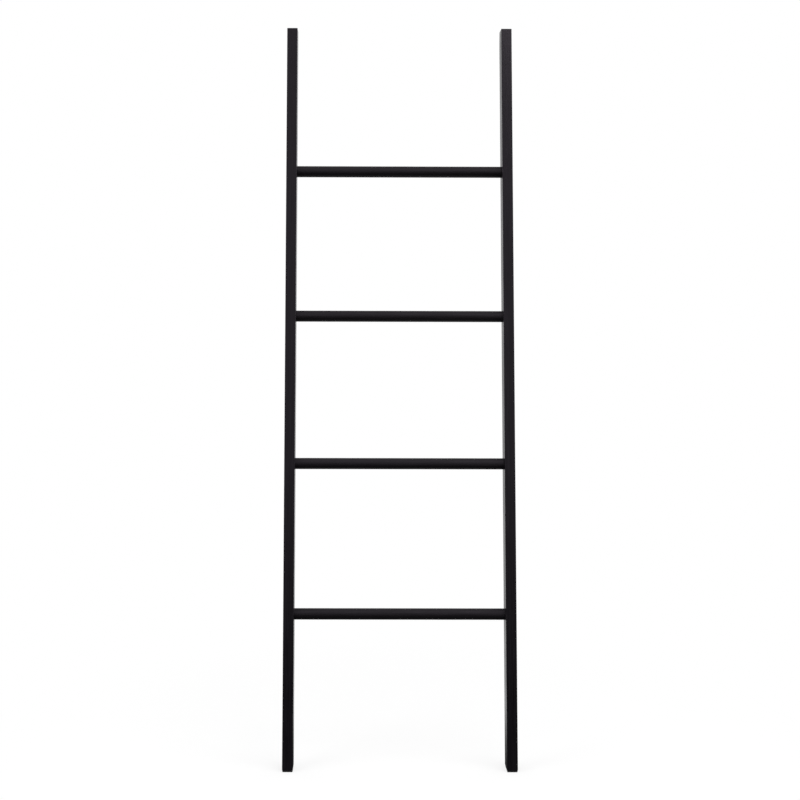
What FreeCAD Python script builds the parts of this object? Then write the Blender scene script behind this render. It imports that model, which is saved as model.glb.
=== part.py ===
import FreeCAD, Part
import math
import os
import re

import Sketcher

# Ladder coat rack: two stiles that lean back on a wall, four round rungs between them.
# X runs to the right, Y towards the wall, Z up, and the origin lies on the floor under the middle.

# Driving dimensions, in millimetres, degrees and counts; a name that ends in share is a ratio
DIMENSIONS = {
    # stiles
    "overall_width": 555,
    "stile_length": 1796,
    "stile_width": 25.5,
    "stile_depth": 40,
    "stile_edge_bevel": 1.2,
    "stile_end_bevel": 0.8,
    "seat_height": 30,
    "lean_angle": 8,
    # rungs and the sockets that take their ends
    "rung_count": 4,
    "rung_diameter": 27,
    "rung_end_bevel": 1,
    "socket_depth": 6,
    "socket_clearance": 0.15,
    # bolts
    "bolt_diameter": 6,
    "bolt_hole_clearance": 0.25,
    "bolt_engagement": 10.7,
    "bolt_tip_bevel": 0.8,
    "bolt_head_diameter": 10.5,
    "bolt_head_height": 3.3,
    "bolt_head_round_share": 0.7,
    "hex_size": 4,
    "hex_depth": 2.2,
    # washers
    "washer_thickness": 1.6,
    "washer_bore_clearance": 0.2,
    "washer_rim_gap": 0.6,
    # cover caps
    "cap_top": 1.3,
    "cap_wall": 0.9,
    "cap_head_gap": 0.4,
    "cap_side_gap": 0.4,
    "cap_clearance": 0.1,
    "cap_drop": 0.2,
    "cap_bevel": 0.4,
    # threaded inserts
    "insert_diameter": 10,
    "insert_length": 13,
    "insert_clearance": 0.05,
    "insert_groove_count": 5,
    "insert_groove_width_share": 0.6,
    "insert_groove_depth_share": 0.4,
    "thread_clearance": 0.1,
    "bore_spare": 2,
    # screws of the foot pads
    "screw_diameter": 3.5,
    "screw_length": 20,
    "screw_tip_length": 4,
    "screw_tip_diameter": 0.4,
    "screw_head_diameter": 7,
    "screw_head_height": 2,
    "screw_head_round_share": 0.6,
    "screw_head_clearance": 0.4,
    "screw_hole_clearance": 0.2,
    "cross_span": 4.2,
    "cross_width": 1.1,
    "cross_depth": 1.2,
    "pilot_clearance": 0.05,
    "pilot_spare": 2,
    # foot pads
    "foot_web": 1.2,
    "foot_head_cover": 0.8,
    "foot_corner_round": 1.2,
    "foot_rim_bevel": 0.5,
    "grip_slot_count": 3,
    "grip_slot_pitch": 3.6,
    "grip_slot_width": 1.5,
    "grip_slot_depth": 1,
    "grip_slot_margin": 4,
    # wall pads
    "wall_pad_diameter": 18,
    "wall_pad_thickness": 2.5,
    "wall_pad_proud": 1.2,
    "wall_pad_rim_bevel": 0.4,
    "wall_pad_clearance": 0.15,
    # how far a cut runs past the surface that it opens
    "cut_overrun": 0.5,
}

RUNG_COUNT = DIMENSIONS["rung_count"]
GRIP_SLOT_COUNT = DIMENSIONS["grip_slot_count"]
SIDES = {"left": -1, "right": 1}
HEX_SIDES = 6
CROSS_ARMS = 4
FULL_TURN = 360
HALF_TURN = 180

# An edge counts as level when it strays by less than this share of its own length
LEVEL_SHARE = 0.001

# Numbers by which a sketch knows its origin and the points of its lines and circles, counted from one
SKETCH_ORIGIN = (-1, 1)
START_POINT, END_POINT, CENTRE_POINT = range(1, 4)

# Frame sizes worked out from the driving dimensions
RUNG_LENGTH = "(overall_width - 2 * stile_width + 2 * socket_depth)"
RUNG_SPACING = "(stile_length / (rung_count + 1))"
END_RISE = "(stile_depth / 2 * tan(lean_angle))"
FOOT_THICKNESS = "(foot_web + screw_head_height + foot_head_cover)"
WALL_REACH = "(stile_length * sin(lean_angle) - seat_height * tan(lean_angle))"
FOOT_BACK = f"(-({WALL_REACH} + wall_pad_proud + stile_end_bevel * sin(lean_angle)) / 2)"

# Places along a bolt's axis, from the stile's outer face inwards
HEAD_SEAT = "(cap_drop + cap_top + cap_head_gap + bolt_head_height)"
RECESS_DEPTH = f"({HEAD_SEAT} + washer_thickness)"
RUNG_FACE = "(stile_width - socket_depth)"
BORE_DEPTH = "(max(insert_length; bolt_engagement) + bore_spare)"

# Radii about a bolt's axis
CAP_INNER = "(bolt_head_diameter / 2 + cap_side_gap)"
CAP_OUTER = f"({CAP_INNER} + cap_wall)"
RECESS_RADIUS = f"({CAP_OUTER} + cap_clearance)"
WASHER_RADIUS = f"({RECESS_RADIUS} - washer_rim_gap)"
INSERT_BORE = "(bolt_diameter / 2 + thread_clearance)"
INSERT_WALL = f"(insert_diameter / 2 - {INSERT_BORE})"

# Seat: the top of a stile's back is cut upright, so that it meets the wall flat while the stile leans
SEAT_LOW = f"(stile_length + {END_RISE} - seat_height / cos(lean_angle))"
SEAT_RISE = "(seat_height * cos(lean_angle))"
SEAT_INSET = "(seat_height * sin(lean_angle))"

doc = FreeCAD.newDocument("LadderCoatRack")
sheet = doc.addObject("Spreadsheet::Sheet", "Dimensions")
for row, (name, value) in enumerate(DIMENSIONS.items(), start=1):
    sheet.set(f"A{row}", name)
    sheet.set(f"B{row}", str(value))
    sheet.setAlias(f"B{row}", name)
doc.recompute()

parts = []


# Helpers that bind sizes to the sheet and draw sketches

def sized(expression):
    """The expression with every named dimension pointing at its cell."""
    def cell(word):
        name = word.group(0)
        return f"Dimensions.{name}" if name in DIMENSIONS else name
    return re.sub(r"[a-z_]+", cell, expression)


def bind(target, prop, expression):
    target.setExpression(prop, sized(expression))


def new_body(label):
    body = doc.addObject("PartDesign::Body", label)
    body.Label = label
    parts.append(body)
    return body


def place_upright(body, right, back, up):
    """A body that stands straight on the floor."""
    bind(body, "Placement", f"placement(vector({right}; {back}; {up}); rotation(vector(1; 0; 0); 0))")


def place_leaning(body, right, along="0", turn=0):
    """A body on the middle line of the leaning stiles, first turned about its own upright axis."""
    rear = f"{FOOT_BACK} + ({along}) * sin(lean_angle)"
    height = f"{FOOT_THICKNESS} + ({along}) * cos(lean_angle)"
    lean = "rotation(vector(1; 0; 0); -lean_angle)"
    spin = f"rotation(vector(0; 0; 1); {turn})"
    bind(body, "Placement", f"placement(vector({right}; {rear}; {height}); {lean} * {spin})")


def new_sketch(body, name, plane, offset="0", tilt="0", up="0"):
    """A sketch on an origin plane, moved up in it and along its normal, and tilted about its first axis."""
    sketch = body.newObject("Sketcher::SketchObject", name)
    planes = {feature.Role: feature for feature in body.Origin.OriginFeatures}
    sketch.AttachmentSupport = (planes[plane], [""])
    sketch.MapMode = "FlatFace"
    where = f"placement(vector(0; {up}; {offset}); rotation(vector(1; 0; 0); {tilt}))"
    bind(sketch, "AttachmentOffset", where)
    return sketch


def pin_point(sketch, geometry, point, right, up):
    """Tie a point of a sketch to its two distances from the sketch's origin."""
    for kind, distance in (("DistanceX", right), ("DistanceY", up)):
        rule = Sketcher.Constraint(kind, *SKETCH_ORIGIN, geometry, point, 0)
        index = sketch.addConstraint(rule)
        bind(sketch, f"Constraints[{index}]", distance)


def draw_outline(sketch, corners):
    """A closed outline of straight lines; each corner is a pair of expressions."""
    count = len(corners)
    step = 2 * math.pi / count
    start = [FreeCAD.Vector(math.cos(step * turn), math.sin(step * turn), 0) for turn in range(count)]
    lines = [sketch.addGeometry(Part.LineSegment(start[turn - 1], start[turn])) for turn in range(count)]
    for turn, (right, up) in enumerate(corners):
        meeting = (lines[turn - 1], END_POINT, lines[turn], START_POINT)
        sketch.addConstraint(Sketcher.Constraint("Coincident", *meeting))
        pin_point(sketch, lines[turn], START_POINT, right, up)


def draw_circle(sketch, radius, right="0", up="0"):
    circle = sketch.addGeometry(Part.Circle(FreeCAD.Vector(0, 0, 0), FreeCAD.Vector(0, 0, 1), 1))
    size = sketch.addConstraint(Sketcher.Constraint("Radius", circle, 1))
    bind(sketch, f"Constraints[{size}]", radius)
    pin_point(sketch, circle, CENTRE_POINT, right, up)


# Helpers that make features

def add_pad(body, sketch, length, symmetric=False):
    pad = body.newObject("PartDesign::Pad", "Pad")
    pad.Profile = sketch
    pad.SideType = "Symmetric" if symmetric else "One side"
    bind(pad, "Length", length)
    doc.recompute()
    return pad


def add_revolution(body, sketch, axis):
    revolution = body.newObject("PartDesign::Revolution", "Revolution")
    revolution.Profile = sketch
    revolution.ReferenceAxis = (sketch, [axis])
    revolution.Angle = FULL_TURN
    doc.recompute()
    return revolution


def add_pocket(body, sketch, depth=None, along_normal=False):
    """A cut of the given depth, or right through; it goes against the sketch's normal unless told."""
    pocket = body.newObject("PartDesign::Pocket", "Pocket")
    pocket.Profile = sketch
    pocket.Reversed = along_normal
    if depth is None:
        pocket.Type = "ThroughAll"
    else:
        bind(pocket, "Length", depth)
    doc.recompute()
    return pocket


def add_groove(body, sketch, axis):
    groove = body.newObject("PartDesign::Groove", "Groove")
    groove.Profile = sketch
    groove.ReferenceAxis = (sketch, [axis])
    groove.Angle = FULL_TURN
    doc.recompute()
    return groove


def add_row(body, originals, axis, length, count):
    """A straight row of copies of the given cuts along one of the body's own axes."""
    axes = {feature.Role: feature for feature in body.Origin.OriginFeatures}
    pattern = body.newObject("PartDesign::LinearPattern", "LinearPattern")
    pattern.Originals = originals
    pattern.Direction = (axes[axis], [""])
    bind(pattern, "Length", length)
    bind(pattern, "Occurrences", count)
    body.Tip = pattern
    doc.recompute()
    return pattern


def add_edge_feature(body, kind, prop, size, wanted):
    """A Fillet or Chamfer on those edges of the body that the wanted function picks."""
    base = body.Tip
    names = [f"Edge{index}" for index, edge in enumerate(base.Shape.Edges, start=1) if wanted(edge)]
    feature = body.newObject(f"PartDesign::{kind}", kind)
    feature.Base = (base, names)
    bind(feature, prop, size)
    doc.recompute()
    return feature


def spans(edge, axis):
    """How far an edge reaches along one axis."""
    return getattr(edge.BoundBox, f"{axis}Length")


def lies_at(edge, axis, value):
    """Whether the whole edge lies level at one place along an axis."""
    near = edge.Length * LEVEL_SHARE
    low = getattr(edge.BoundBox, f"{axis}Min")
    high = getattr(edge.BoundBox, f"{axis}Max")
    return abs(low - value) < near and abs(high - value) < near


# Stiles

def make_stile(side):
    body = new_body(f"{side}_stile")
    sign = SIDES[side]
    profile = new_sketch(body, "SideProfile", "YZ_Plane")
    front = "-stile_depth / 2"
    rear = "stile_depth / 2"
    draw_outline(profile, [
        (front, f"-{END_RISE}"),
        (rear, END_RISE),
        (rear, SEAT_LOW),
        (f"{rear} - {SEAT_INSET}", f"{SEAT_LOW} + {SEAT_RISE}"),
        (front, f"stile_length - {END_RISE}"),
    ])
    add_pad(body, profile, "stile_width", symmetric=True)

    # bevels on the upright edges first, then on the outlines of both ends
    eased = add_edge_feature(body, "Chamfer", "Size", "stile_edge_bevel",
                             lambda edge: spans(edge, "Z") > spans(edge, "Y") + spans(edge, "X"))
    ends = [face for face in eased.Shape.Faces if spans(face, "Y") > spans(face, "Z")]
    rims = [edge for face in ends for edge in face.Edges]
    add_edge_feature(body, "Chamfer", "Size", "stile_end_bevel",
                     lambda edge: any(edge.isSame(rim) for rim in rims))

    # sockets in the inner face, recesses in the outer one, bolt holes between them
    inner = new_sketch(body, "SocketCircle", "YZ_Plane", f"{-sign} * stile_width / 2")
    draw_circle(inner, "rung_diameter / 2 + socket_clearance", "0", RUNG_SPACING)
    socket = add_pocket(body, inner, "socket_depth", along_normal=sign > 0)
    outer = new_sketch(body, "RecessCircle", "YZ_Plane", f"{sign} * stile_width / 2")
    draw_circle(outer, RECESS_RADIUS, "0", RUNG_SPACING)
    recess = add_pocket(body, outer, RECESS_DEPTH, along_normal=sign < 0)
    drilled = new_sketch(body, "BoltCircle", "YZ_Plane", f"{sign} * stile_width / 2")
    draw_circle(drilled, "bolt_diameter / 2 + bolt_hole_clearance", "0", RUNG_SPACING)
    hole = add_pocket(body, drilled, "stile_width", along_normal=sign < 0)
    add_row(body, [socket, recess, hole], "Z_Axis", f"{RUNG_SPACING} * (rung_count - 1)", "rung_count")

    # a pilot hole for the screw of the foot pad, and a recess for the wall pad in the seat
    foot = new_sketch(body, "FootPilot", "XY_Plane", tilt="lean_angle")
    draw_circle(foot, "screw_diameter / 2 + pilot_clearance")
    add_pocket(body, foot, "screw_length - foot_web + pilot_spare", along_normal=True)
    seat = new_sketch(body, "WallPadCircle", "XZ_Plane", f"{SEAT_INSET} / 2 - {rear}",
                      tilt="lean_angle", up=f"{SEAT_LOW} + {SEAT_RISE} / 2")
    draw_circle(seat, "wall_pad_diameter / 2 + wall_pad_clearance")
    add_pocket(body, seat, "wall_pad_thickness - wall_pad_proud", along_normal=True)
    place_leaning(body, f"{sign} * (overall_width - stile_width) / 2")


# Rungs

def make_rung(number):
    body = new_body(f"rung_{number}")
    profile = new_sketch(body, "HalfProfile", "XY_Plane")
    end = f"{RUNG_LENGTH} / 2"
    radius = "rung_diameter / 2"
    bore = "insert_diameter / 2 + insert_clearance"
    right_half = [
        (f"{end} - rung_end_bevel", radius),
        (end, f"{radius} - rung_end_bevel"),
        (end, bore),
        (f"{end} - {BORE_DEPTH}", bore),
        (f"{end} - {BORE_DEPTH}", "0"),
    ]
    left_half = [(f"-({right})", up) for right, up in reversed(right_half)]
    draw_outline(profile, right_half + left_half)
    add_revolution(body, profile, "H_Axis")
    place_leaning(body, "0", along=f"{RUNG_SPACING} * {number}")


# Fasteners of one rung end, all drawn along X from the stile's outer face inwards

def place_fastener(body, number, side):
    sign = SIDES[side]
    turn = HALF_TURN if sign > 0 else 0
    height = f"{RUNG_SPACING} * {number}"
    place_leaning(body, f"{sign} * overall_width / 2", along=height, turn=turn)


def make_insert(number, side):
    body = new_body(f"insert_{number}_{side}")
    profile = new_sketch(body, "HalfProfile", "XY_Plane")
    far = f"{RUNG_FACE} + insert_length"
    radius = "insert_diameter / 2"
    draw_outline(profile, [
        (RUNG_FACE, INSERT_BORE),
        (far, INSERT_BORE),
        (far, radius),
        (RUNG_FACE, radius),
    ])
    add_revolution(body, profile, "H_Axis")

    # grooves that leave ribs to bite in the wood
    pitch = "insert_length / (insert_groove_count + 1)"
    half = f"{pitch} * insert_groove_width_share / 2"
    notch = new_sketch(body, "GrooveProfile", "XY_Plane")
    draw_outline(notch, [
        (f"{RUNG_FACE} + {pitch}", f"{radius} - {INSERT_WALL} * insert_groove_depth_share"),
        (f"{RUNG_FACE} + {pitch} + {half}", f"{radius} + cut_overrun"),
        (f"{RUNG_FACE} + {pitch} - {half}", f"{radius} + cut_overrun"),
    ])
    groove = add_groove(body, notch, "H_Axis")
    add_row(body, [groove], "X_Axis", f"{pitch} * (insert_groove_count - 1)", "insert_groove_count")
    place_fastener(body, number, side)


def make_bolt(number, side):
    body = new_body(f"bolt_{number}_{side}")
    profile = new_sketch(body, "HalfProfile", "XY_Plane")
    top = f"{HEAD_SEAT} - bolt_head_height"
    tip = f"{RUNG_FACE} + bolt_engagement"
    head = "bolt_head_diameter / 2"
    shank = "bolt_diameter / 2"
    draw_outline(profile, [
        (top, "0"),
        (tip, "0"),
        (tip, f"{shank} - bolt_tip_bevel"),
        (f"{tip} - bolt_tip_bevel", shank),
        (HEAD_SEAT, shank),
        (HEAD_SEAT, head),
        (top, head),
    ])
    turned = add_revolution(body, profile, "H_Axis")
    low = turned.Shape.BoundBox.XMin
    add_edge_feature(body, "Fillet", "Radius", "bolt_head_height * bolt_head_round_share",
                     lambda edge: lies_at(edge, "X", low))

    hexagon = new_sketch(body, "Hexagon", "YZ_Plane", top)
    reach = f"hex_size / 2 / cos({HALF_TURN / HEX_SIDES})"
    angles = [FULL_TURN / HEX_SIDES * corner for corner in range(HEX_SIDES)]
    draw_outline(hexagon, [(f"{reach} * cos({angle})", f"{reach} * sin({angle})") for angle in angles])
    add_pocket(body, hexagon, "hex_depth", along_normal=True)
    place_fastener(body, number, side)


def make_washer(number, side):
    body = new_body(f"washer_{number}_{side}")
    rings = new_sketch(body, "Rings", "YZ_Plane", HEAD_SEAT)
    draw_circle(rings, WASHER_RADIUS)
    draw_circle(rings, "bolt_diameter / 2 + washer_bore_clearance")
    add_pad(body, rings, "washer_thickness")
    place_fastener(body, number, side)


def make_cap(number, side):
    body = new_body(f"cap_{number}_{side}")
    profile = new_sketch(body, "HalfProfile", "XY_Plane")
    under = "cap_drop + cap_top"
    draw_outline(profile, [
        ("cap_drop", "0"),
        (under, "0"),
        (under, CAP_INNER),
        (HEAD_SEAT, CAP_INNER),
        (HEAD_SEAT, CAP_OUTER),
        ("cap_drop + cap_bevel", CAP_OUTER),
        ("cap_drop", f"{CAP_OUTER} - cap_bevel"),
    ])
    add_revolution(body, profile, "H_Axis")
    place_fastener(body, number, side)


# Screws: drawn along Z from the underside of the head

def make_screw(label):
    body = new_body(label)
    profile = new_sketch(body, "HalfProfile", "XZ_Plane")
    head = "screw_head_diameter / 2"
    shank = "screw_diameter / 2"
    draw_outline(profile, [
        ("0", "-screw_head_height"),
        (head, "-screw_head_height"),
        (head, "0"),
        (shank, "0"),
        (shank, "screw_length - screw_tip_length"),
        ("screw_tip_diameter / 2", "screw_length"),
        ("0", "screw_length"),
    ])
    turned = add_revolution(body, profile, "V_Axis")
    low = turned.Shape.BoundBox.ZMin
    add_edge_feature(body, "Fillet", "Radius", "screw_head_height * screw_head_round_share",
                     lambda edge: lies_at(edge, "Z", low))

    cross = new_sketch(body, "Cross", "XY_Plane", "-screw_head_height")
    long_arm = "cross_span / 2"
    half = "cross_width / 2"
    quarter = [(long_arm, f"-{half}"), (long_arm, half), (half, half)]
    corners = []
    for _ in range(CROSS_ARMS):
        corners += quarter
        quarter = [(f"-({up})", right) for right, up in quarter]
    draw_outline(cross, corners)
    add_pocket(body, cross, "cross_depth", along_normal=True)
    return body


# Foot pads: flat on the floor under the slanted ends of the stiles

def make_foot(side):
    middle = f"{SIDES[side]} * (overall_width - stile_width) / 2"
    seat = "foot_head_cover + screw_head_height"
    body = new_body(f"{side}_foot_pad")
    outline = new_sketch(body, "Outline", "XY_Plane")
    half_width = "(stile_width / 2 - stile_end_bevel)"
    half_depth = "(stile_depth / 2 / cos(lean_angle) - stile_end_bevel)"
    draw_outline(outline, [
        (f"-{half_width}", f"-{half_depth}"),
        (half_width, f"-{half_depth}"),
        (half_width, half_depth),
        (f"-{half_width}", half_depth),
    ])
    block = add_pad(body, outline, FOOT_THICKNESS)
    tall = block.Shape.BoundBox.ZLength
    add_edge_feature(body, "Fillet", "Radius", "foot_corner_round",
                     lambda edge: spans(edge, "Z") > tall / 2)
    add_edge_feature(body, "Chamfer", "Size", "foot_rim_bevel",
                     lambda edge: lies_at(edge, "Z", 0))

    clear = new_sketch(body, "ScrewHole", "XY_Plane")
    draw_circle(clear, "screw_diameter / 2 + screw_hole_clearance")
    add_pocket(body, clear, along_normal=True)
    sunk = new_sketch(body, "HeadRecess", "XY_Plane")
    recess = "screw_head_diameter / 2 + screw_head_clearance"
    draw_circle(sunk, recess)
    add_pocket(body, sunk, seat, along_normal=True)

    # grip slots across the sole, before and behind the screw
    slots = new_sketch(body, "GripSlots", "XY_Plane")
    reach = f"({half_width} - grip_slot_margin)"
    for end in (-1, 1):
        for slot in range(1, GRIP_SLOT_COUNT + 1):
            centre = f"{end} * ({recess} + ({slot} - 1 / 2) * grip_slot_pitch)"
            draw_outline(slots, [
                (f"-{reach}", f"{centre} - grip_slot_width / 2"),
                (reach, f"{centre} - grip_slot_width / 2"),
                (reach, f"{centre} + grip_slot_width / 2"),
                (f"-{reach}", f"{centre} + grip_slot_width / 2"),
            ])
    add_pocket(body, slots, "grip_slot_depth", along_normal=True)
    place_upright(body, middle, FOOT_BACK, "0")

    screw = make_screw(f"{side}_foot_screw")
    place_upright(screw, middle, FOOT_BACK, seat)


# Wall pads: discs let into the seats, proud of them where they meet the wall

def make_wall_pad(side):
    body = new_body(f"{side}_wall_pad")
    profile = new_sketch(body, "HalfProfile", "XY_Plane")
    radius = "wall_pad_diameter / 2"
    floor = "wall_pad_proud - wall_pad_thickness"
    draw_outline(profile, [
        ("0", floor),
        (radius, floor),
        (radius, "wall_pad_proud - wall_pad_rim_bevel"),
        (f"{radius} - wall_pad_rim_bevel", "wall_pad_proud"),
        ("0", "wall_pad_proud"),
    ])
    add_revolution(body, profile, "V_Axis")
    middle = f"{SIDES[side]} * (overall_width - stile_width) / 2"
    rear = f"{FOOT_BACK} + stile_depth / 2 / cos(lean_angle) + {WALL_REACH}"
    height = f"{FOOT_THICKNESS} + stile_length * cos(lean_angle) - seat_height / 2"
    place_upright(body, middle, rear, height)


for side in SIDES:
    make_stile(side)
for number in range(1, RUNG_COUNT + 1):
    make_rung(number)
    for side in SIDES:
        make_insert(number, side)
        make_bolt(number, side)
        make_washer(number, side)
        make_cap(number, side)
for side in SIDES:
    make_foot(side)
    make_wall_pad(side)
doc.recompute()


# Checks before anything is written

def check_document():
    for item in doc.Objects:
        if "Invalid" in item.State or "Error" in item.State:
            raise RuntimeError(f"{item.Label} did not recompute: {item.State}")
        if item.TypeId in ("PartDesign::Pocket", "PartDesign::Groove", "PartDesign::LinearPattern"):
            if item.Shape.Volume >= item.BaseFeature.Shape.Volume:
                raise RuntimeError(f"{item.Label} cuts nothing")
    for body in parts:
        shape = body.Shape
        if shape.isNull() or not shape.isValid() or len(shape.Solids) != 1:
            raise RuntimeError(f"{body.Label} is not one valid solid")


check_document()
os.makedirs("parts", exist_ok=True)
for body in parts:
    body.Shape.exportStep(f"parts/{body.Label}.step")
print(f"{len(parts)} parts written")
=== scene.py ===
import math

import bmesh
import bpy
from mathutils import Matrix, Vector


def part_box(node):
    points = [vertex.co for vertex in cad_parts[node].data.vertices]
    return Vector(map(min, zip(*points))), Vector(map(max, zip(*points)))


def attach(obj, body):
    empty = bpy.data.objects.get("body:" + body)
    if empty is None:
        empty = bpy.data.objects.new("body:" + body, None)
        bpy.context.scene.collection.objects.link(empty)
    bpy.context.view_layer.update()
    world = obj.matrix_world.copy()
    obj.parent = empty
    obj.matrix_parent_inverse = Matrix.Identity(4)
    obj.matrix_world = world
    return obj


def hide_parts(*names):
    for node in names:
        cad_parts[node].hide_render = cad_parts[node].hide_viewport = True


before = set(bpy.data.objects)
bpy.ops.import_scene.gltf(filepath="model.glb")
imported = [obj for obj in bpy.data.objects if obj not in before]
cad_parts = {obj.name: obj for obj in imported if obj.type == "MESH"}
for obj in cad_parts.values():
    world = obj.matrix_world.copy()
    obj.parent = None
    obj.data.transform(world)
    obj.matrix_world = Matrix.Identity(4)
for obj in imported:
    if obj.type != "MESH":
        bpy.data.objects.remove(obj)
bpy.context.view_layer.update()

print("frame loaded:", len(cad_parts), "nodes")


# how the rack stands: both stiles lean back and their ends are cut level with the floor
stance = {"leanDegrees": 8.0, "rungs": 4}
lean = math.radians(stance["leanDegrees"])
rungNumbers = range(1, stance["rungs"] + 1)
sides = {"left": -1, "right": 1}
quarterTurn = math.pi / 2
fullTurn = 2 * math.pi
white = (1, 1, 1, 1)
black = (0, 0, 0, 1)


def boxOf(node):
    low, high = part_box(node)
    return Vector(low), Vector(high)


footLow, footHigh = boxOf("left_foot_pad")
footPlace = Vector((0, (footLow.y + footHigh.y) / 2, footHigh.z))  # stiles' middle line at the lower cut
tilt = Matrix.Rotation(-lean, 4, "X")


# nodes and links in one call: a socket given as a value is linked, anything else is typed in
def addNode(tree, kind, inputs=None, **settings):
    node = tree.nodes.new("ShaderNode" + kind)
    for key, value in settings.items():
        setattr(node, key, value)
    for key, value in (inputs or {}).items():
        if isinstance(value, bpy.types.NodeSocket):
            tree.links.new(value, node.inputs[key])
        else:
            node.inputs[key].default_value = value
    return node


def calc(tree, operation, first, second=0.0):
    return addNode(tree, "Math", {0: first, 1: second}, operation=operation).outputs[0]


def vectorCalc(tree, operation, first, second):
    return addNode(tree, "VectorMath", {0: first, 1: second}, operation=operation).outputs[0]


def weighedSum(tree, first, firstWeight, second, secondWeight):
    return calc(tree, "ADD", calc(tree, "MULTIPLY", first, firstWeight),
                calc(tree, "MULTIPLY", second, secondWeight))


def noise(tree, place, scale, detail=2.0, roughness=0.5):
    inputs = {"Vector": place, "Scale": scale, "Detail": detail, "Roughness": roughness}
    return addNode(tree, "TexNoise", inputs).outputs[0]


def remap(tree, value, low, high, toLow=0.0, toHigh=1.0):
    inputs = {"Value": value, "From Min": low, "From Max": high, "To Min": toLow, "To Max": toHigh}
    return addNode(tree, "MapRange", inputs, interpolation_type="SMOOTHSTEP").outputs[0]


def blendColour(tree, share, first, second):
    return addNode(tree, "Mix", {0: share, 6: first, 7: second}, data_type="RGBA").outputs[2]


def blendValue(tree, share, first, second):
    return addNode(tree, "Mix", {0: share, 2: first, 3: second}, data_type="FLOAT").outputs[0]


def newGroup(name, inputs, outputs):
    tree = bpy.data.node_groups.new(name, "ShaderNodeTree")
    for label, value in inputs.items():
        kind = "NodeSocketColor" if isinstance(value, tuple) else "NodeSocketFloat"
        tree.interface.new_socket(label, in_out="INPUT", socket_type=kind).default_value = value
    for label in outputs:
        kind = "NodeSocketColor" if label == "Colour" else "NodeSocketFloat"
        tree.interface.new_socket(label, in_out="OUTPUT", socket_type=kind)
    return tree, tree.nodes.new("NodeGroupInput").outputs, tree.nodes.new("NodeGroupOutput").inputs


def connect(tree, target, sockets):
    for label, socket in sockets.items():
        tree.links.new(socket, target[label])


# each piece made here keeps its own axes in the mesh, Z along its length, so that grain follows the bar
def pieceSpace(tree):
    return addNode(tree, "Attribute", attribute_name="pieceSpace").outputs["Vector"]


noiseMiddle = (0.3, 0.7)  # most of a noise lies between these values

# straight fine grain under paint, shifted on each piece so that no two bars look alike
grainLook = {
    "driftScale": 3.0, "driftDetail": 1.0, "driftReach": (0.004, 0.004, 0.0), "pieceShift": 40.0,
    "fineDetail": 3.0, "fineRoughness": 0.6, "broadScale": 0.13, "cloudScale": 9.0,
    "pores": (0.36, 0.46), "tone": (0.35, 0.7), "leastTone": 0.35, "leastGloss": 0.4,
    "poreHeight": 0.6, "broadHeight": 0.4,
}


def makeGrainGroup():
    look = grainLook
    start = {"Deep Colour": black, "Raised Colour": white, "Lines Per Metre": 700.0, "Stretch": 60.0,
             "Least Roughness": 0.3, "Most Roughness": 0.4}
    tree, inputs, outputs = newGroup("grainUnderPaint", start, ["Colour", "Roughness", "Height"])
    place = pieceSpace(tree)
    chance = addNode(tree, "ObjectInfo").outputs["Random"]
    drift = addNode(tree, "TexNoise", {"Vector": place, "Scale": look["driftScale"],
                                       "Detail": look["driftDetail"]})
    wander = vectorCalc(tree, "MULTIPLY", drift.outputs["Color"], look["driftReach"])
    moved = vectorCalc(tree, "ADD", place, wander)
    axes = addNode(tree, "SeparateXYZ", {0: moved}).outputs
    across = inputs["Lines Per Metre"]
    along = calc(tree, "DIVIDE", across, inputs["Stretch"])
    lines = addNode(tree, "CombineXYZ", {
        0: weighedSum(tree, axes[0], across, chance, look["pieceShift"]),
        1: calc(tree, "MULTIPLY", axes[1], across),
        2: calc(tree, "MULTIPLY", axes[2], along)}).outputs[0]
    fine = noise(tree, lines, 1.0, look["fineDetail"], look["fineRoughness"])
    broad = noise(tree, lines, look["broadScale"])
    cloud = noise(tree, moved, look["cloudScale"])
    tone = calc(tree, "MULTIPLY", remap(tree, fine, *look["tone"]),
                remap(tree, broad, *noiseMiddle, look["leastTone"], 1.0))
    gloss = calc(tree, "MULTIPLY", remap(tree, cloud, *noiseMiddle),
                 remap(tree, fine, *noiseMiddle, look["leastGloss"], 1.0))
    pores = remap(tree, fine, *look["pores"])
    connect(tree, outputs, {
        "Colour": blendColour(tree, tone, inputs["Deep Colour"], inputs["Raised Colour"]),
        "Roughness": blendValue(tree, gloss, inputs["Least Roughness"], inputs["Most Roughness"]),
        "Height": weighedSum(tree, pores, look["poreHeight"], broad, look["broadHeight"])})
    return tree


# paint thinned on the edges: follows the edge value kept in the mesh, broken up into patches
edgeLook = {"patches": (0.4, 0.7), "patchDetail": 4.0, "wornRoughness": 0.62}


def makeEdgeGroup():
    look = edgeLook
    start = {"Colour": black, "Roughness": 0.5, "Worn Colour": (0.1, 0.1, 0.1, 1), "Amount": 0.5,
             "Patches Per Metre": 60.0}
    tree, inputs, outputs = newGroup("wornEdges", start, ["Colour", "Roughness"])
    edge = addNode(tree, "Attribute", attribute_name="arris").outputs["Fac"]
    patches = noise(tree, pieceSpace(tree), inputs["Patches Per Metre"], look["patchDetail"])
    broken = calc(tree, "MULTIPLY", edge, remap(tree, patches, *look["patches"]))
    mask = calc(tree, "MULTIPLY", broken, inputs["Amount"])
    connect(tree, outputs, {
        "Colour": blendColour(tree, mask, inputs["Colour"], inputs["Worn Colour"]),
        "Roughness": blendValue(tree, mask, inputs["Roughness"], look["wornRoughness"])})
    return tree


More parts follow.
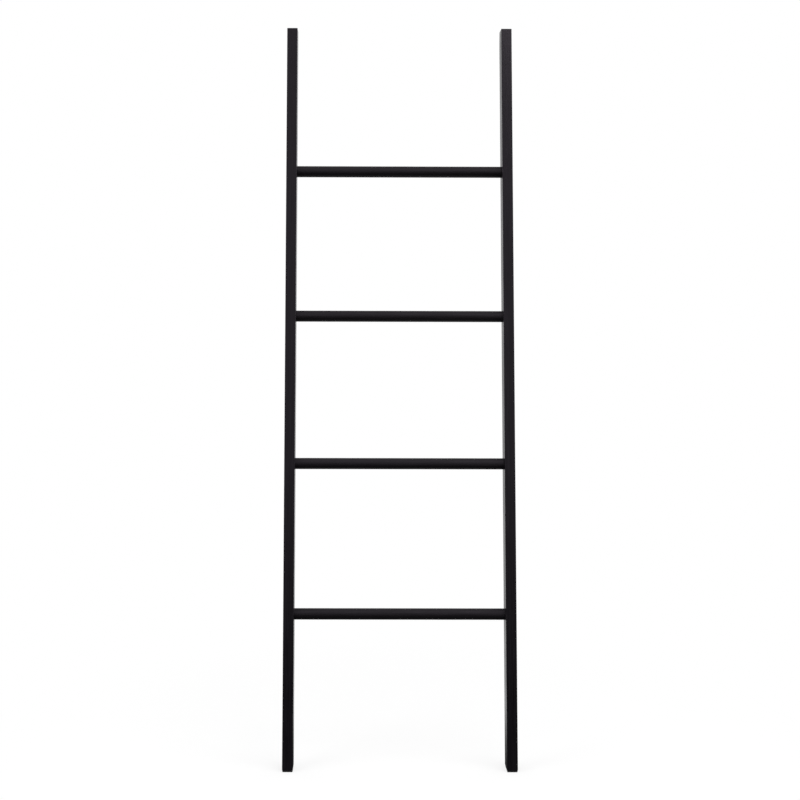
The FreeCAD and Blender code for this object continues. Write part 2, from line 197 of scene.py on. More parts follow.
# year rings on a sawn end, round a heart that lies outside the bar
ringLook = {
    "heart": (0.035, 0.05, 0.0), "endPlane": (1.0, 1.0, 0.0), "bendScale": 60.0, "bendTurns": 1.6,
    "sawScale": 1800.0, "leastTone": 0.5, "roughness": (0.46, 0.62), "ringHeight": 0.5, "sawHeight": 0.5,
}


def makeRingGroup():
    look = ringLook
    start = {"Deep Colour": black, "Raised Colour": white, "Rings Per Metre": 550.0}
    tree, inputs, outputs = newGroup("endGrainRings", start, ["Colour", "Roughness", "Height"])
    place = pieceSpace(tree)
    flat = vectorCalc(tree, "MULTIPLY", vectorCalc(tree, "ADD", place, look["heart"]), look["endPlane"])
    bend = noise(tree, flat, look["bendScale"])
    reach = addNode(tree, "VectorMath", {0: flat}, operation="LENGTH").outputs["Value"]
    turns = weighedSum(tree, reach, inputs["Rings Per Metre"], bend, look["bendTurns"])
    ring = calc(tree, "FRACT", turns)
    saw = noise(tree, place, look["sawScale"])
    tone = calc(tree, "MULTIPLY", ring, remap(tree, saw, *noiseMiddle, look["leastTone"], 1.0))
    connect(tree, outputs, {
        "Colour": blendColour(tree, tone, inputs["Deep Colour"], inputs["Raised Colour"]),
        "Roughness": remap(tree, saw, *noiseMiddle, *look["roughness"]),
        "Height": weighedSum(tree, ring, look["ringHeight"], saw, look["sawHeight"])})
    return tree


# skin of moulded plastic or rubber: fine spark texture with a slow change of tone
skinLook = {"slowScale": 140.0, "slowDetail": 3.0, "grains": (0.35, 0.65), "leastTone": 0.4}


def makeSkinGroup():
    look = skinLook
    start = {"Deep Colour": black, "Raised Colour": white, "Grains Per Metre": 3000.0,
             "Least Roughness": 0.4, "Most Roughness": 0.6}
    tree, inputs, outputs = newGroup("mouldedSkin", start, ["Colour", "Roughness", "Height"])
    place = addNode(tree, "TexCoord").outputs["Object"]
    grains = noise(tree, place, inputs["Grains Per Metre"])
    slow = noise(tree, place, look["slowScale"], look["slowDetail"])
    tone = calc(tree, "MULTIPLY", remap(tree, grains, *look["grains"]),
                remap(tree, slow, *noiseMiddle, look["leastTone"], 1.0))
    gloss = remap(tree, slow, *noiseMiddle)
    connect(tree, outputs, {
        "Colour": blendColour(tree, tone, inputs["Deep Colour"], inputs["Raised Colour"]),
        "Roughness": blendValue(tree, gloss, inputs["Least Roughness"], inputs["Most Roughness"]),
        "Height": grains})
    return tree


# turned and plated metal: fine lines across X and clouds of tarnish
metalLook = {"squeeze": (1.0, 0.08, 0.08), "cloudScale": 260.0, "cloudDetail": 4.0, "clouds": (0.35, 0.7)}


def makeMetalGroup():
    look = metalLook
    start = {"Bright Colour": white, "Dull Colour": (0.5, 0.5, 0.5, 1), "Lines Per Metre": 4000.0,
             "Least Roughness": 0.2, "Most Roughness": 0.4}
    tree, inputs, outputs = newGroup("workedMetal", start, ["Colour", "Roughness", "Height"])
    place = addNode(tree, "TexCoord").outputs["Object"]
    lines = noise(tree, vectorCalc(tree, "MULTIPLY", place, look["squeeze"]), inputs["Lines Per Metre"])
    tarnish = remap(tree, noise(tree, place, look["cloudScale"], look["cloudDetail"]), *look["clouds"])
    gloss = remap(tree, lines, *noiseMiddle)
    connect(tree, outputs, {
        "Colour": blendColour(tree, tarnish, inputs["Bright Colour"], inputs["Dull Colour"]),
        "Roughness": blendValue(tree, gloss, inputs["Least Roughness"], inputs["Most Roughness"]),
        "Height": lines})
    return tree


grainGroup = makeGrainGroup()
edgeGroup = makeEdgeGroup()
ringGroup = makeRingGroup()
skinGroup = makeSkinGroup()
metalGroup = makeMetalGroup()


def placeGroup(tree, group, values):
    placed = tree.nodes.new("ShaderNodeGroup")
    placed.node_tree = group
    for label, value in values.items():
        placed.inputs[label].default_value = value
    return placed


# a material is one Principled shader fed by a group, with its plain numbers typed into the shader itself
def newMaterial(name, group, groupValues, plain, bump, edge=None):
    material = bpy.data.materials.new(name)
    material.use_nodes = True
    tree = material.node_tree
    tree.nodes.clear()
    surface = placeGroup(tree, group, groupValues)
    colour, roughness = surface.outputs["Colour"], surface.outputs["Roughness"]
    if edge:
        worn = placeGroup(tree, edgeGroup, edge)
        connect(tree, worn.inputs, {"Colour": colour, "Roughness": roughness})
        colour, roughness = worn.outputs["Colour"], worn.outputs["Roughness"]
    relief = addNode(tree, "Bump", {"Height": surface.outputs["Height"], **bump})
    shader = addNode(tree, "BsdfPrincipled", {"Base Color": colour, "Roughness": roughness,
                                              "Normal": relief.outputs["Normal"], **plain})
    output = tree.nodes.new("ShaderNodeOutputMaterial")
    tree.links.new(shader.outputs["BSDF"], output.inputs["Surface"])
    return material


# black lacquer: glossier on the planed stiles, more matt on the turned rungs, rings showing on the sawn ends
stileLacquer = {
    "deep": (0.0012, 0.0010, 0.0014, 1), "raised": (0.0072, 0.0063, 0.0079, 1),
    "lines": 700.0, "stretch": 55.0, "leastRoughness": 0.24, "mostRoughness": 0.32,
    "specularLevel": 0.26, "specularTint": (0.96, 0.85, 1.0, 1), "refraction": 1.5,
    "relief": 0.22, "reliefDepth": 0.0003,
    "worn": (0.026, 0.0235, 0.0265, 1), "wear": 0.7, "patches": 45.0,
}
# painted light: the stiles' lacquer made lighter on the rungs, so that their shaded undersides show brighter
# than the lamps make them
rungLacquerPaintedLighter = {
    **stileLacquer, "deep": (0.0032, 0.0028, 0.0034, 1), "raised": (0.0105, 0.0094, 0.0110, 1),
    "lines": 900.0, "leastRoughness": 0.56, "mostRoughness": 0.66, "specularLevel": 0.2,
}
endLacquer = {
    **stileLacquer, "deep": (0.0026, 0.0023, 0.0028, 1), "raised": (0.0075, 0.0066, 0.0078, 1),
    "rings": 520.0, "relief": 0.3,
}


def lacquerOn(name, finish, group, groupValues):
    return newMaterial(
        name, group, {"Deep Colour": finish["deep"], "Raised Colour": finish["raised"], **groupValues},
        {"Specular IOR Level": finish["specularLevel"], "Specular Tint": finish["specularTint"],
         "IOR": finish["refraction"]},
        {"Strength": finish["relief"], "Distance": finish["reliefDepth"]},
        {"Worn Colour": finish["worn"], "Amount": finish["wear"], "Patches Per Metre": finish["patches"]})


def grainValues(finish):
    return {"Lines Per Metre": finish["lines"], "Stretch": finish["stretch"],
            "Least Roughness": finish["leastRoughness"], "Most Roughness": finish["mostRoughness"]}


lacquerOnStiles = lacquerOn("lacquerOnStiles", stileLacquer, grainGroup, grainValues(stileLacquer))
lacquerOnRungsPaintedLighter = lacquerOn("lacquerOnRungsPaintedLighter", rungLacquerPaintedLighter, grainGroup, grainValues(rungLacquerPaintedLighter))
lacquerOnEnds = lacquerOn("lacquerOnEnds", endLacquer, ringGroup, {"Rings Per Metre": endLacquer["rings"]})

# the small pieces: values for the group, plain numbers for the shader, then the relief
capPlastic = newMaterial(
    "capPlastic", skinGroup,
    {"Deep Colour": (0.0055, 0.0055, 0.006, 1), "Raised Colour": (0.012, 0.012, 0.0125, 1),
     "Grains Per Metre": 3500.0, "Least Roughness": 0.42, "Most Roughness": 0.55},
    {"Specular IOR Level": 0.4, "IOR": 1.46}, {"Strength": 0.25, "Distance": 0.0001})
padRubber = newMaterial(
    "padRubber", skinGroup,
    {"Deep Colour": (0.008, 0.008, 0.0085, 1), "Raised Colour": (0.021, 0.021, 0.021, 1),
     "Grains Per Metre": 1700.0, "Least Roughness": 0.66, "Most Roughness": 0.86},
    {"Specular IOR Level": 0.3, "IOR": 1.52}, {"Strength": 0.4, "Distance": 0.0002})
zincPlate = newMaterial(
    "zincPlate", metalGroup,
    {"Bright Colour": (0.64, 0.65, 0.67, 1), "Dull Colour": (0.46, 0.46, 0.45, 1),
     "Lines Per Metre": 5200.0, "Least Roughness": 0.24, "Most Roughness": 0.42},
    {"Metallic": 1.0}, {"Strength": 0.2, "Distance": 0.0001})
turnedBrass = newMaterial(
    "turnedBrass", metalGroup,
    {"Bright Colour": (0.78, 0.57, 0.24, 1), "Dull Colour": (0.52, 0.34, 0.13, 1),
     "Lines Per Metre": 4200.0, "Least Roughness": 0.2, "Most Roughness": 0.38},
    {"Metallic": 1.0}, {"Strength": 0.2, "Distance": 0.0001})
print("materials ready:", len(bpy.data.materials))


# a finished mesh becomes a piece: smooth faces, crisp where two meet at an angle and along a named crease
def addPiece(name, bm, matrix, materials, node, sharpDegrees=32.0, crease=()):
    spaceLayer = bm.verts.layers.float_vector.new("pieceSpace")
    for vert in bm.verts:
        vert[spaceLayer] = vert.co
    bmesh.ops.transform(bm, matrix=matrix, verts=bm.verts)
    bmesh.ops.recalc_face_normals(bm, faces=bm.faces)
    for face in bm.faces:
        face.smooth = True
    for edge in bm.edges:
        creased = edge.verts[0] in crease and edge.verts[1] in crease
        edge.smooth = not creased and edge.calc_face_angle(0.0) < math.radians(sharpDegrees)
    mesh = bpy.data.meshes.new(name)
    bm.to_mesh(mesh)
    bm.free()
    for material in materials:
        mesh.materials.append(material)
    piece = bpy.data.objects.new(name, mesh)
    bpy.context.scene.collection.objects.link(piece)
    even = piece.modifiers.new("evenNormals", "WEIGHTED_NORMAL")
    even.keep_sharp = True
    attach(piece, "root")
    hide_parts(node)


def spread(start, end, count):
    return [start + (end - start) * i / count for i in range(count + 1)]


def joinLoops(bm, first, second):
    for i in range(len(first)):
        k = (i + 1) % len(first)
        bm.faces.new((first[i], first[k], second[k], second[i]))


# sizes in metres; wear runs from 0, painted, to 1, fully open to rubbing
stileShape = {
    "depth": 0.040, "arrisRadius": 0.0008, "endEase": 0.0008, "arcSteps": 4, "endRadiusLoss": 0.6,
    "rowSpacing": 0.045, "patchSteps": 16, "socketPatch": 0.0158, "padPatch": 0.0102,
    "socketClearance": 0.00015, "capClearance": 0.0001, "padClearance": 0.00015,
    "socketDepth": 0.006, "boltRadius": 0.003, "boltClearance": 0.0003,
    "mouthEase": 0.00035, "mouthBend": 0.3,
    "arrisWear": 1.0, "flatEndWear": 0.12, "mouthWear": 0.5, "throatWear": 0.2, "padMouthWear": 0.4,
}
axisX, axisY, axisZ = Vector((1, 0, 0)), Vector((0, 1, 0)), Vector((0, 0, 1))


def alongStile(node):  # from the lower cut up to the middle of a node
    low, high = boxOf(node)
    return ((low.z + high.z) / 2 - footPlace.z) / math.cos(lean)


# rows from the foot up, level with the floor, each with how far its outline is drawn in;
# where a rung or the wall pad sits, close rows make a square patch that turns into a round hole
def stileRows(sideName):
    shape = stileShape
    low, high = boxOf(sideName + "_stile")
    length = (high.z - low.z) / math.cos(lean)
    ease = shape["endEase"]
    easeRows = [(ease * (1 - math.cos(a)), ease * (1 - math.sin(a)))
                for a in spread(0, quarterTurn, shape["arcSteps"])]
    rows = list(easeRows)
    firstRow = {}

    def fillTo(along):
        here = rows[-1][0]
        count = max(1, math.ceil((along - here) / shape["rowSpacing"]))
        rows.extend((value, 0.0) for value in spread(here, along, count)[1:])

    def patchAt(key, along, half):
        fillTo(along - half)
        firstRow[key] = len(rows) - 1
        rows.extend((value, 0.0) for value in spread(along - half, along + half, shape["patchSteps"])[1:])

    for number in rungNumbers:
        patchAt(number, alongStile(f"rung_{number}"), shape["socketPatch"])
    cutReach = high.y - footPlace.y - shape["depth"] / 2 / math.cos(lean)
    fillTo(cutReach / math.sin(lean))  # the upright cut starts here
    firstRow["cut"] = len(rows) - 1
    patchAt("pad", alongStile(sideName + "_wall_pad"), shape["padPatch"] / math.cos(lean))
    fillTo(length - ease)
    rows.extend((length - along, inset) for along, inset in reversed(easeRows[:-1]))
    return rows, firstRow


def flatShares(half, patch):
    return [-1.0] + spread(-patch / half, patch / half, stileShape["patchSteps"]) + [1.0]


# outline of one row: four flats joined by arcs, with the column where the patch of each flat starts
def stileOutline(halfWidth, rearDepth, inset):
    shape = stileShape
    radius = shape["arrisRadius"]
    halfDepth = shape["depth"] / 2
    r = radius - shape["endRadiusLoss"] * inset
    x = halfWidth - inset - r
    front = halfDepth - inset - r
    rear = rearDepth - inset - r
    across = [x * share for share in flatShares(halfWidth - radius, shape["padPatch"])]
    deep = [(rear if share > 0 else front) * share
            for share in flatShares(halfDepth - radius, shape["socketPatch"])]
    points = []
    patchColumn = {}

    def arc(centreX, centreY, startAngle):
        for i in range(1, shape["arcSteps"]):
            angle = startAngle + quarterTurn * i / shape["arcSteps"]
            cornerX, cornerY = centreX + r * math.cos(angle), centreY + r * math.sin(angle)
            points.append((cornerX, cornerY, shape["arrisWear"]))

    def flat(face, pairs):
        patchColumn[face] = len(points) + 1
        ends = (0, len(pairs) - 1)
        for i, (flatX, flatY) in enumerate(pairs):
            points.append((flatX, flatY, shape["flatEndWear"] if i in ends else 0.0))

    flat("front", [(value, -front - r) for value in across])
    arc(x, -front, -quarterTurn)
    flat("right", [(x + r, value) for value in deep])
    arc(x, rear, 0.0)
    flat("back", [(-value, rear + r) for value in across])
    arc(-x, rear, quarterTurn)
    flat("left", [(-x - r, value) for value in reversed(deep)])
    arc(-x, -front, math.pi)
    return points, patchColumn


# skin over the rows, open at the patches; both ends are closed and show the sawn wood
def skinStile(bm, rows, outlines, patches):
    edgeLayer = bm.verts.layers.float["arris"]
    steps = stileShape["patchSteps"]
    columnCount = len(outlines[0])
    hiddenVerts, hiddenFaces = set(), set()
    for row, column in patches:
        for i in range(steps):
            for j in range(steps):
                hiddenFaces.add((row + i, column + j))
                if i and j:
                    hiddenVerts.add((row + i, column + j))
    grid = {}
    for i, (along, inset) in enumerate(rows):
        for j, (x, y, wear) in enumerate(outlines[i]):
            if (i, j) not in hiddenVerts:
                vert = bm.verts.new((x, y, along + y * math.tan(lean)))
                vert[edgeLayer] = stileShape["arrisWear"] if inset > 0 else wear
                grid[i, j] = vert
    for i in range(len(rows) - 1):
        for j in range(columnCount):
            if (i, j) not in hiddenFaces:
                k = (j + 1) % columnCount
                bm.faces.new((grid[i, j], grid[i, k], grid[i + 1, k], grid[i + 1, j]))
    for i in (0, len(rows) - 1):
        bm.faces.new([grid[i, j] for j in range(columnCount)]).material_index = 1
    return grid


# the rim of a patch in order of turn about its middle, with the turns; axes are across, up and inwards
def patchRim(grid, patch, middle, axes):
    row, column = patch
    steps = stileShape["patchSteps"]
    rim = [grid[row + i, column + j] for i in range(steps + 1) for j in range(steps + 1)
           if i in (0, steps) or j in (0, steps)]
    turn = {}
    for vert in rim:
        arm = vert.co - middle
        turn[vert] = math.atan2(arm.dot(axes[1]), arm.dot(axes[0]))
    return sorted(rim, key=turn.get), sorted(turn.values())


# rings of (radius, depth, wear) sunk from a rim; the last ring is handed back
def sinkRings(bm, rim, turns, middle, axes, rings):
    edgeLayer = bm.verts.layers.float["arris"]
    across, up, inwards = axes
    last = rim
    for radius, depth, wear in rings:
        centre = middle + depth * inwards
        ring = []
        for turn in turns:
            vert = bm.verts.new(centre + radius * (math.cos(turn) * across + math.sin(turn) * up))
            vert[edgeLayer] = wear
            ring.append(vert)
        joinLoops(bm, last, ring)
        last = ring
    return last


# through a stile at one rung: cap recess outside, bolt hole, rung socket inside
def boreForRung(bm, grid, sideName, number, outerPatch, innerPatch):
    shape = stileShape
    side = sides[sideName]
    low, high = boxOf(sideName + "_stile")
    rungLow, rungHigh = boxOf(f"rung_{number}")
    capLow, capHigh = boxOf(f"cap_{number}_{sideName}")
    washerLow, washerHigh = boxOf(f"washer_{number}_{sideName}")
    width = high.x - low.x
    recess = (capHigh.y - capLow.y) / 2 + shape["capClearance"]
    recessDepth = high.x - washerLow.x if side > 0 else washerHigh.x - low.x
    shank = shape["boltRadius"] + shape["boltClearance"]
    socket = (rungHigh.y - rungLow.y) / 2 + shape["socketClearance"]
    socketFloor = width - shape["socketDepth"]
    mouth, mouthWear, throatWear = shape["mouthEase"], shape["mouthWear"], shape["throatWear"]
    bend = mouth * shape["mouthBend"]
    axes = (axisY, axisZ, -side * axisX)
    middle = Vector((side * width / 2, 0, alongStile(f"rung_{number}")))
    outerRim, turns = patchRim(grid, outerPatch, middle, axes)
    innerRim = patchRim(grid, innerPatch, middle + width * axes[2], axes)[0]
    last = sinkRings(bm, outerRim, turns, middle, axes, [
        (recess + mouth, 0.0, mouthWear), (recess + bend, bend, mouthWear), (recess, mouth, throatWear),
        (recess, recessDepth, 0.0), (shank, recessDepth, 0.0),
        (shank, socketFloor, 0.0), (socket, socketFloor, 0.0),
        (socket, width - mouth, throatWear), (socket + bend, width - bend, mouthWear),
        (socket + mouth, width, mouthWear)])
    joinLoops(bm, last, innerRim)


# recess for the wall pad, in the upright cut
def recessForPad(bm, grid, sideName, patch):
    shape = stileShape
    rear = boxOf(sideName + "_stile")[1].y
    padLow, padHigh = boxOf(sideName + "_wall_pad")
    radius = (padHigh.x - padLow.x) / 2 + shape["padClearance"]
    mouth, mouthWear = shape["mouthEase"], shape["padMouthWear"]
    toLocal = (Matrix.Translation(footPlace) @ tilt).inverted()
    middle = toLocal @ Vector((0, rear, (padLow.z + padHigh.z) / 2))
    axes = (axisX, toLocal.to_3x3() @ axisZ, -(toLocal.to_3x3() @ axisY))
    rim, turns = patchRim(grid, patch, middle, axes)
    last = sinkRings(bm, rim, turns, middle, axes, [
        (radius + mouth, 0.0, mouthWear), (radius, mouth, mouthWear), (radius, rear - padLow.y, 0.0)])
    bm.faces.new(last)


def buildStile(sideName):
    low, high = boxOf(sideName + "_stile")
    halfWidth = (high.x - low.x) / 2
    halfDepth = stileShape["depth"] / 2
    rows, firstRow = stileRows(sideName)
    outlines = []
    for along, inset in rows:
        cutDepth = (high.y - footPlace.y - along * math.sin(lean)) * math.cos(lean)  # to the upright cut
        points, patchColumn = stileOutline(halfWidth, min(halfDepth, cutDepth), inset)
        outlines.append(points)

    outerFace, innerFace = ("right", "left") if sides[sideName] > 0 else ("left", "right")
    outerPatches = {number: (firstRow[number], patchColumn[outerFace]) for number in rungNumbers}
    innerPatches = {number: (firstRow[number], patchColumn[innerFace]) for number in rungNumbers}
    padPatch = (firstRow["pad"], patchColumn["back"])

    bm = bmesh.new()
    bm.verts.layers.float.new("arris")
    grid = skinStile(bm, rows, outlines, [padPatch, *outerPatches.values(), *innerPatches.values()])
    for number in rungNumbers:
        boreForRung(bm, grid, sideName, number, outerPatches[number], innerPatches[number])
    recessForPad(bm, grid, sideName, padPatch)

    firstBack = patchColumn["back"] - 1
    lastBack = patchColumn["back"] + stileShape["patchSteps"] + 1
    crease = {grid[firstRow["cut"], column] for column in range(firstBack, lastBack + 1)}
    place = Matrix.Translation(footPlace + Vector(((low.x + high.x) / 2, 0, 0))) @ tilt
    addPiece(sideName + "StileBar", bm, place, [lacquerOnStiles, lacquerOnEnds],
             sideName + "_stile", crease=crease)


for sideName in sides:
    buildStile(sideName)
print("stiles built")


# a turned piece: profile of (radius, height, wear) about its own Z
def turnPiece(profile, steps):
    bm = bmesh.new()
    edgeLayer = bm.verts.layers.float.new("arris")
    last = None
    for radius, height, wear in profile:
        count = steps if radius > 0 else 1
        ring = []
        for i in range(count):
            angle = fullTurn * i / steps
            vert = bm.verts.new((radius * math.cos(angle), radius * math.sin(angle), height))
            vert[edgeLayer] = wear
            ring.append(vert)
        if last and len(last) == len(ring):
            joinLoops(bm, last, ring)
        elif last:
            tip, rim = (last[0], ring) if len(last) == 1 else (ring[0], last)
            for i in range(steps):
                bm.faces.new((tip, rim[i], rim[(i + 1) % steps]))
        last = ring
    return bm


# rounded rim of a turned piece, from its top face out to its side
def easedRim(radius, top, ease, steps, wear):
    return [(radius - ease * (1 - math.sin(a)), top - ease * (1 - math.cos(a)), wear)
            for a in spread(0, quarterTurn, steps)]


rungShape = {
    "steps": 96, "rows": 36, "endEase": 0.001, "easeSteps": 4, "endWear": 0.8, "boreWear": 0.2,
    "boreClearance": 0.00005, "lathePrint": 0.00003, "fastWaver": 61.0, "slowWaver": 23.0, "turnDegrees": 37,
}


def buildRung(number):
    shape = rungShape
    low, high = boxOf(f"rung_{number}")
    insertLow, insertHigh = boxOf(f"insert_{number}_left")
    half = (high.x - low.x) / 2
    radius = (high.y - low.y) / 2
    bore = (insertHigh.y - insertLow.y) / 2 + shape["boreClearance"]
    boreFloor = half - (insertHigh.x - low.x)
    ease = shape["endEase"]
    end = [(0.0, boreFloor, 0.0), (bore, boreFloor, 0.0), (bore, half, shape["boreWear"])]
    end += easedRim(radius, half, ease, shape["easeSteps"], shape["endWear"])
    body = []
    for z in spread(-half + ease, half - ease, shape["rows"])[1:-1]:
        # faint waver left by the lathe
        wave = math.sin(z * shape["fastWaver"] + number) * math.sin(z * shape["slowWaver"] + 2 * number)
        body.append((radius - shape["lathePrint"] * (1 + wave), z, 0.0))
    profile = [(r, -z, wear) for r, z, wear in end] + body + list(reversed(end))
    turn = Matrix.Rotation(math.radians(shape["turnDegrees"] * number), 4, "Z")  # so no two bars match
    place = Matrix.Translation((low + high) / 2) @ Matrix.Rotation(quarterTurn, 4, "Y") @ turn
    addPiece(f"rungBar{number}", turnPiece(profile, shape["steps"]), place, [lacquerOnRungsPaintedLighter],
             f"rung_{number}")


for number in rungNumbers:
    buildRung(number)
print("rungs built")


# a low crown inside a shallow ring, on a hollow skirt
capShape = {
    "steps": 64, "sharpDegrees": 40.0, "crown": 0.0003, "crownShares": (0.25, 0.5, 0.7), "dipShare": 0.6,
    "moat": 0.00012, "moatShares": (0.78, 0.8, 0.84, 0.86), "moatWear": 0.3,
    "rimEase": 0.00035, "rimSteps": 4, "rimWear": 0.8, "skirt": 0.0009, "top": 0.0013,
}


def buildCap(number, sideName):
    shape = capShape
    side = sides[sideName]
    low, high = boxOf(f"cap_{number}_{sideName}")
    radius = (high.y - low.y) / 2
    depth = high.x - low.x
    inner = radius - shape["skirt"]
    dip = -shape["crown"] * shape["dipShare"]
    floor = dip - shape["moat"]
    profile = [(0.0, 0.0, 0.0)]
    profile += [(radius * share, -shape["crown"] * share ** 2, 0.0) for share in shape["crownShares"]]
    moat = zip(shape["moatShares"], (dip, floor, floor, dip), (0.0, 0.0, 0.0, shape["moatWear"]))
    profile += [(radius * share, height, wear) for share, height, wear in moat]
    profile += easedRim(radius, dip, shape["rimEase"], shape["rimSteps"], shape["rimWear"])
    profile += [(radius, -depth, 0.0), (inner, -depth, 0.0)]
    profile += [(inner, -shape["top"], 0.0), (0.0, -shape["top"], 0.0)]
    middle = (low + high) / 2
    middle.x = high.x if side > 0 else low.x
    place = Matrix.Translation(middle) @ Matrix.Rotation(side * quarterTurn, 4, "Y")
    addPiece(f"coverCap{number}{sideName.capitalize()}", turnPiece(profile, shape["steps"]), place,
             [capPlastic], f"cap_{number}_{sideName}", shape["sharpDegrees"])


for number in rungNumbers:
    for sideName in sides:
        buildCap(number, sideName)
print("cover caps built")


# dish: pairs of how far out and how deep, as shares of the radius and of the dish
padShape = {
    "steps": 64, "sharpDegrees": 40.0, "rimEase": 0.0005, "rimSteps": 5, "rimWear": 0.6,
    "dish": 0.00015, "dishShares": ((0.0, 1.0), (0.4, 1.0), (0.72, 0.4)),
}


def buildWallPad(sideName):
    shape = padShape
    low, high = boxOf(sideName + "_wall_pad")
    radius = (high.x - low.x) / 2
    depth = high.y - low.y
    profile = [(radius * out, -shape["dish"] * deep, 0.0) for out, deep in shape["dishShares"]]
    profile += easedRim(radius, 0.0, shape["rimEase"], shape["rimSteps"], shape["rimWear"])
    profile += [(radius, -depth, 0.0), (0.0, -depth, 0.0)]
    middle = (low + high) / 2
    middle.y = high.y
    place = Matrix.Translation(middle) @ Matrix.Rotation(-quarterTurn, 4, "X")
    addPiece(sideName + "WallDisc", turnPiece(profile, shape["steps"]), place, [padRubber],
             sideName + "_wall_pad", shape["sharpDegrees"])


for sideName in sides:
    buildWallPad(sideName)
print("wall pads built")


# fasteners and foot pads keep their CAD shape and take these finishes
finishes = {"bolt": zincPlate, "washer": zincPlate, "insert": turnedBrass, "foot_screw": zincPlate,
            "foot_pad": padRubber}
for name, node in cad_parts.items():
    for word, material in finishes.items():
        if word in name:
            for materialSlot in node.material_slots:
                materialSlot.material = material
print("fasteners and foot pads finished")


# floor: a pale round board, white to the camera but still holding the rack's shadow, fading out at its rim
floorBoard = {
    "radius": 1.1, "steps": 96, "ringShares": (0.15, 0.45, 0.75, 1.0), "drop": 0.0002,
    "colour": (0.78, 0.78, 0.78, 1), "bounce": (0.08, 0.08, 0.08, 1),
    "shadowShare": 0.24, "fadeShares": (0.45, 0.98), "glossBand": (-0.1, 0.35), "glossShare": 0.8,
}


def makeFloorMaterial():
    material = bpy.data.materials.new("paleFloor")
    material.use_nodes = True
    tree = material.node_tree
    tree.nodes.clear()
    rays = addNode(tree, "LightPath").outputs
    place = addNode(tree, "TexCoord").outputs["Object"]
    reach = addNode(tree, "VectorMath", {0: place}, operation="LENGTH").outputs["Value"]
    fadeStart, fadeEnd = (floorBoard["radius"] * share for share in floorBoard["fadeShares"])
    nearFeet = remap(tree, reach, fadeStart, fadeEnd, floorBoard["shadowShare"], 0.0)
    backwards = addNode(tree, "SeparateXYZ", {0: place}).outputs[1]
    shine = remap(tree, backwards, *floorBoard["glossBand"], 0.0, floorBoard["glossShare"])
    clear = calc(tree, "MAXIMUM", rays["Is Camera Ray"], rays["Is Transmission Ray"])
    seen = calc(tree, "MAXIMUM", clear, calc(tree, "MULTIPLY", rays["Is Glossy Ray"], shine))
    matt = addNode(tree, "BsdfDiffuse", {"Color": floorBoard["colour"]}).outputs[0]
    glow = addNode(tree, "Emission", {"Color": white, "Strength": 1.0}).outputs[0]
    pale = addNode(tree, "MixShader", {0: nearFeet, 1: glow, 2: matt}).outputs[0]
    dim = addNode(tree, "BsdfDiffuse", {"Color": floorBoard["bounce"]}).outputs[0]
    both = addNode(tree, "MixShader", {0: seen, 1: dim, 2: pale}).outputs[0]
    under = addNode(tree, "NewGeometry").outputs["Backfacing"]  # nothing shows from below
    nothing = addNode(tree, "BsdfTransparent").outputs[0]
    oneSided = addNode(tree, "MixShader", {0: under, 1: both, 2: nothing}).outputs[0]
    output = tree.nodes.new("ShaderNodeOutputMaterial")
    tree.links.new(oneSided, output.inputs["Surface"])
    return material


def buildFloor():
    bm = bmesh.new()
    rings = []
    for share in floorBoard["ringShares"]:
        radius = floorBoard["radius"] * share
        rings.append([bm.verts.new((radius * math.cos(a), radius * math.sin(a), -floorBoard["drop"]))
                      for a in spread(0, fullTurn, floorBoard["steps"])[:-1]])
    bm.faces.new(rings[0])
    for inner, outer in zip(rings, rings[1:]):
        joinLoops(bm, outer, inner)  # this order turns the faces up
    mesh = bpy.data.meshes.new("floorBoard")
    bm.to_mesh(mesh)
    bm.free()
    mesh.materials.append(makeFloorMaterial())
    floor = bpy.data.objects.new("floorBoard", mesh)
    bpy.context.scene.collection.objects.link(floor)


buildFloor()


# studio: white all round to the camera; the rack is lit from above and by a white wall behind it,
# which is a little darker on the left, and the floor's side of the room stays dark
studio = {
    "horizonLow": -0.04, "horizonHigh": 0.15, "dark": 0.05, "front": 0.72,
    "wallStart": -0.35, "wallFull": 0.2, "wallFoot": -1.0, "wallClear": -0.7,
    "wallLeft": 0.74, "wallRight": 1.0, "wallTurn": 0.16,
}


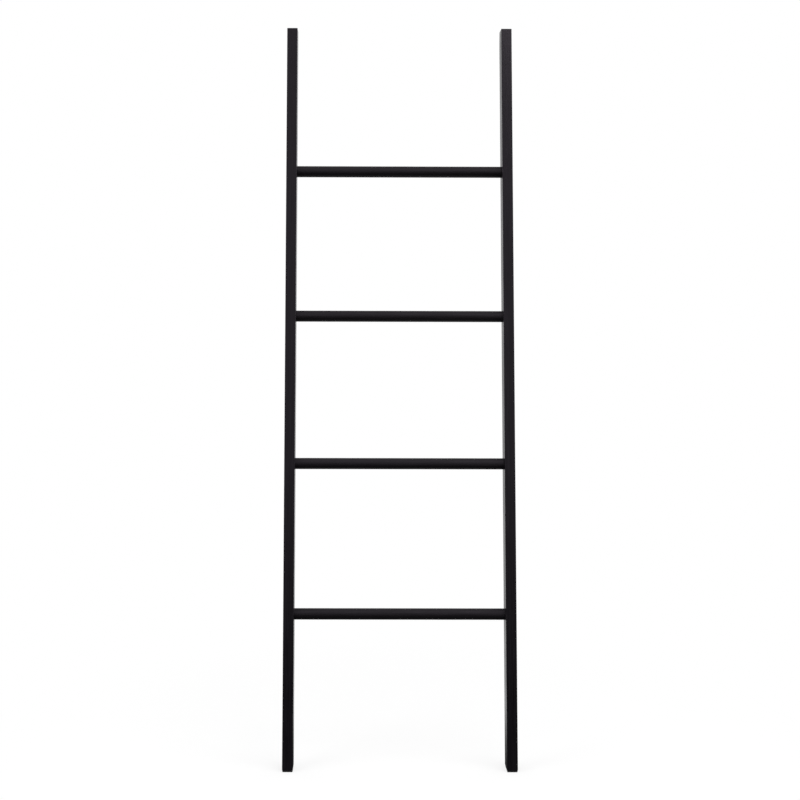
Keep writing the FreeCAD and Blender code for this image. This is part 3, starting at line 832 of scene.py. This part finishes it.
def buildStudio():
    world = bpy.data.worlds.new("studio")
    bpy.context.scene.world = world
    world.use_nodes = True
    tree = world.node_tree
    tree.nodes.clear()
    rays = addNode(tree, "LightPath").outputs
    axes = addNode(tree, "SeparateXYZ", {0: addNode(tree, "TexCoord").outputs["Generated"]}).outputs
    upwards = remap(tree, axes[2], 0.0, 1.0, studio["front"], 1.0)
    horizon = remap(tree, axes[2], studio["horizonLow"], studio["horizonHigh"], studio["dark"], 1.0)
    above = calc(tree, "MULTIPLY", upwards, horizon)
    behind = calc(tree, "MULTIPLY", remap(tree, axes[1], studio["wallStart"], studio["wallFull"]),
                  remap(tree, axes[2], studio["wallFoot"], studio["wallClear"]))
    turn = studio["wallTurn"]
    wall = remap(tree, axes[0], -turn, turn, studio["wallLeft"], studio["wallRight"])
    room = calc(tree, "MAXIMUM", above, calc(tree, "MULTIPLY", behind, wall))
    gloss = blendValue(tree, calc(tree, "MULTIPLY", rays["Is Glossy Ray"], behind), room, wall)
    clear = calc(tree, "MAXIMUM", rays["Is Camera Ray"], rays["Is Transmission Ray"])
    shade = blendValue(tree, clear, gloss, 1.0)
    light = addNode(tree, "Background", {"Color": white, "Strength": shade})
    output = tree.nodes.new("ShaderNodeOutputWorld")
    tree.links.new(light.outputs[0], output.inputs["Surface"])


buildStudio()

keyLamp = {"place": (1.1, -1.96, 4.0), "aim": (0.0, 0.0, 1.3), "size": 1.5, "watts": 30.0}
sideLamps = {"out": 2.3, "back": -1.2, "up": 2.2, "aim": (0.0, 0.0, 0.9), "size": 1.5, "watts": 30.0}


def addLamp(name, lamp, place):
    light = bpy.data.lights.new(name, "AREA")
    light.shape = "SQUARE"
    light.size = lamp["size"]
    light.energy = lamp["watts"]
    thing = bpy.data.objects.new(name, light)
    bpy.context.scene.collection.objects.link(thing)
    thing.location = place
    thing.rotation_euler = (Vector(lamp["aim"]) - Vector(place)).to_track_quat("-Z", "Y").to_euler()


addLamp("keyLamp", keyLamp, keyLamp["place"])
for sideName, side in sides.items():
    addLamp(sideName + "SideLamp", sideLamps, (side * sideLamps["out"], sideLamps["back"], sideLamps["up"]))
print("floor, studio and lamps set")

# the picture is square, 800 by 800 pixels
picture = {
    "place": (-0.1043, -2.6943, 1.0400), "pitchDegrees": 3.653, "turnDegrees": 0.285, "rollDegrees": 0.146,
    "lens": 50.0, "sensor": 36.0, "shiftX": 0.0475,
}
viewer = bpy.data.objects.new("viewer", bpy.data.cameras.new("viewer"))
bpy.context.scene.collection.objects.link(viewer)
viewer.data.lens = picture["lens"]
viewer.data.sensor_width = picture["sensor"]
viewer.data.shift_x = picture["shiftX"]
viewer.matrix_world = (Matrix.Translation(picture["place"])
                       @ Matrix.Rotation(math.radians(-picture["turnDegrees"]), 4, "Z")
                       @ Matrix.Rotation(math.radians(90.0 - picture["pitchDegrees"]), 4, "X")
                       @ Matrix.Rotation(math.radians(picture["rollDegrees"]), 4, "Z"))
bpy.context.scene.camera = viewer
bpy.context.scene.view_settings.view_transform = "Standard"
print("camera set")
